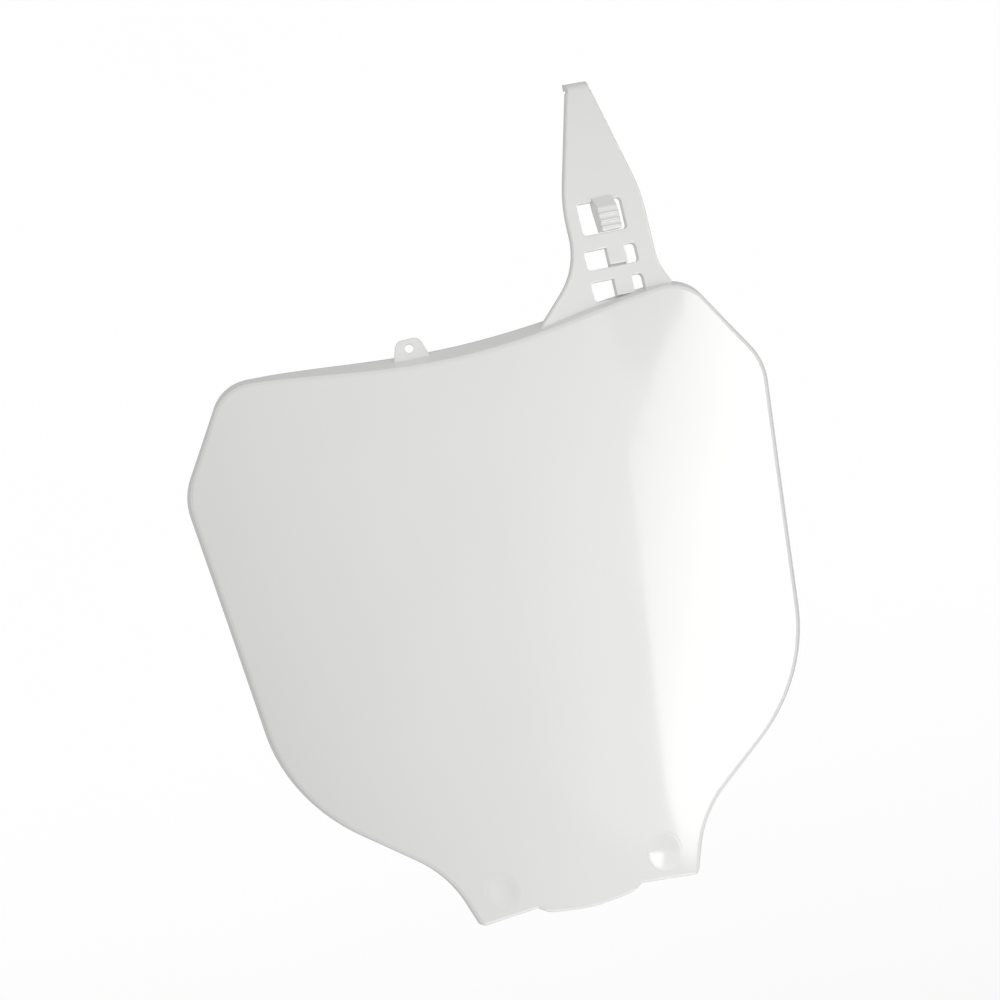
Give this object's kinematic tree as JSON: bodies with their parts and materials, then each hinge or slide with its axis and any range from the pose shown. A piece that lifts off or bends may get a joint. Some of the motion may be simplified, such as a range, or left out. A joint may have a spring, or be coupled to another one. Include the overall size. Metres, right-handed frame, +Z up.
{
  "type": "number board",
  "caption": "Bowed, shield-shaped front number board for a racing motorcycle, moulded in one piece with a turned-back rim, a latch strap and an eyelet on its top edge.",
  "frame": {"origin": "midway between the open ends of the two screw bosses behind the lower corners", "axes": "+X to the viewer's right seen from the front, +Y to the back of the board, +Z up the board towards its strap"},
  "size_m": [0.239, 0.0452, 0.3145],
  "materials": {
    "white_plastic": "gloss, injection moulded"
  },
  "bodies": {
    "root": {"number_board": "white_plastic"}
  },
  "joints": []
}
